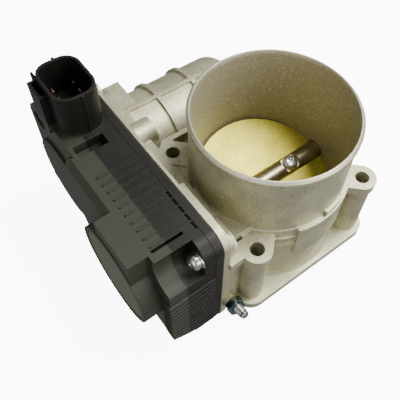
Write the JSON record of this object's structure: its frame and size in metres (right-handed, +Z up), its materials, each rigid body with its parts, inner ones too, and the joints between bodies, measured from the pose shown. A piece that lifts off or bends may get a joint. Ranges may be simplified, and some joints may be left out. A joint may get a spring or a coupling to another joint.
{
  "type": "electronic throttle body",
  "caption": "Electronic throttle body with a bored cast throat, a butterfly plate on a through shaft, and a side case holding the drive motor, gear train and sensor.",
  "frame": {"origin": "on the throat's axis in the face of the mounting flange", "axes": "+Z up the throat to the air inlet, X along the throttle shaft with the gear case at -X, +Y towards the drive motor"},
  "size_m": [0.136, 0.1374, 0.105],
  "materials": {
    "cast_aluminium": "sand-cast and tumbled, machined at the lip and bore",
    "black_plastic": "moulded glass-filled nylon, fine grain",
    "bearing_steel": "ground",
    "seal_rubber": "matt",
    "plain_steel": "ground",
    "spring_steel": "drawn wire",
    "zinc_plate": "bright zinc plate",
    "plate_brass": "yellow passivated, finely speckled",
    "gear_nylon": "natural nylon",
    "terminal_copper": "tinned copper alloy",
    "sintered_bronze": "sintered",
    "ferrite": "ferrite",
    "carbon": "carbon",
    "board": "printed board",
    "cap_plastic": "moulded, satin"
  },
  "bodies": {
    "casing": {"brush_card": "gear_nylon", "connector_pins": "terminal_copper", "cover_gasket": "seal_rubber", "cover_lock_washers": "zinc_plate", "cover_screw_washers": "zinc_plate", "cover_screws": "zinc_plate", "far_side_bearing": "bearing_steel", "far_side_seal": "seal_rubber", "gear_cover": "black_plastic", "gear_side_bearing": "bearing_steel", "gear_side_seal": "seal_rubber", "intermediate_pin": "plain_steel", "motor_brushes": "carbon", "motor_bushes": "sintered_bronze", "motor_can": "zinc_plate", "motor_end_plate": "plain_steel", "motor_magnets": "ferrite", "motor_screws": "zinc_plate", "motor_terminals": "terminal_copper", "return_spring": "spring_steel", "sensor_board": "board", "sensor_cap": "cap_plastic", "shaft_end_plug": "plain_steel", "stop_lock_nut": "zinc_plate", "stop_screw": "zinc_plate", "throttle_housing": "cast_aluminium"},
    "throttle": {"throttle_shaft": "plain_steel", "throttle_plate": "plate_brass", "plate_screws": "zinc_plate", "throttle_gear": "gear_nylon", "gear_washer": "zinc_plate", "gear_nut": "zinc_plate", "sensor_rotor": "gear_nylon", "sensor_wipers": "terminal_copper"},
    "intermediate": {"intermediate_gear": "gear_nylon"},
    "motor_rotor": {"motor_shaft": "plain_steel", "armature_stack": "plain_steel", "armature_windings": "terminal_copper", "commutator": "terminal_copper", "motor_pinion": "sintered_bronze"}
  },
  "joints": [
    {"name": "throttle_turn", "type": "hinge", "parent": "casing", "child": "throttle", "pos_m": [0, 0, 0.033], "axis": [1, 0, 0], "range_deg": [-8, 76], "stiffness_Nm_per_rad": 0.4},
    {"name": "intermediate_turn", "type": "hinge", "parent": "casing", "child": "intermediate", "pos_m": [-0.06, 0.0376, 0.0342], "axis": [1, 0, 0], "range_deg": [-304.5, 32.5]},
    {"name": "motor_turn", "type": "hinge", "parent": "casing", "child": "motor_rotor", "pos_m": [0, 0.0645, 0.026], "axis": [1, 0, 0], "range_deg": [-118, 1115.5]}
  ],
  "couplings": [
    {"joint": "intermediate_turn", "follows": "throttle_turn", "ratio": -4},
    {"joint": "motor_turn", "follows": "throttle_turn", "ratio": 14.667}
  ]
}
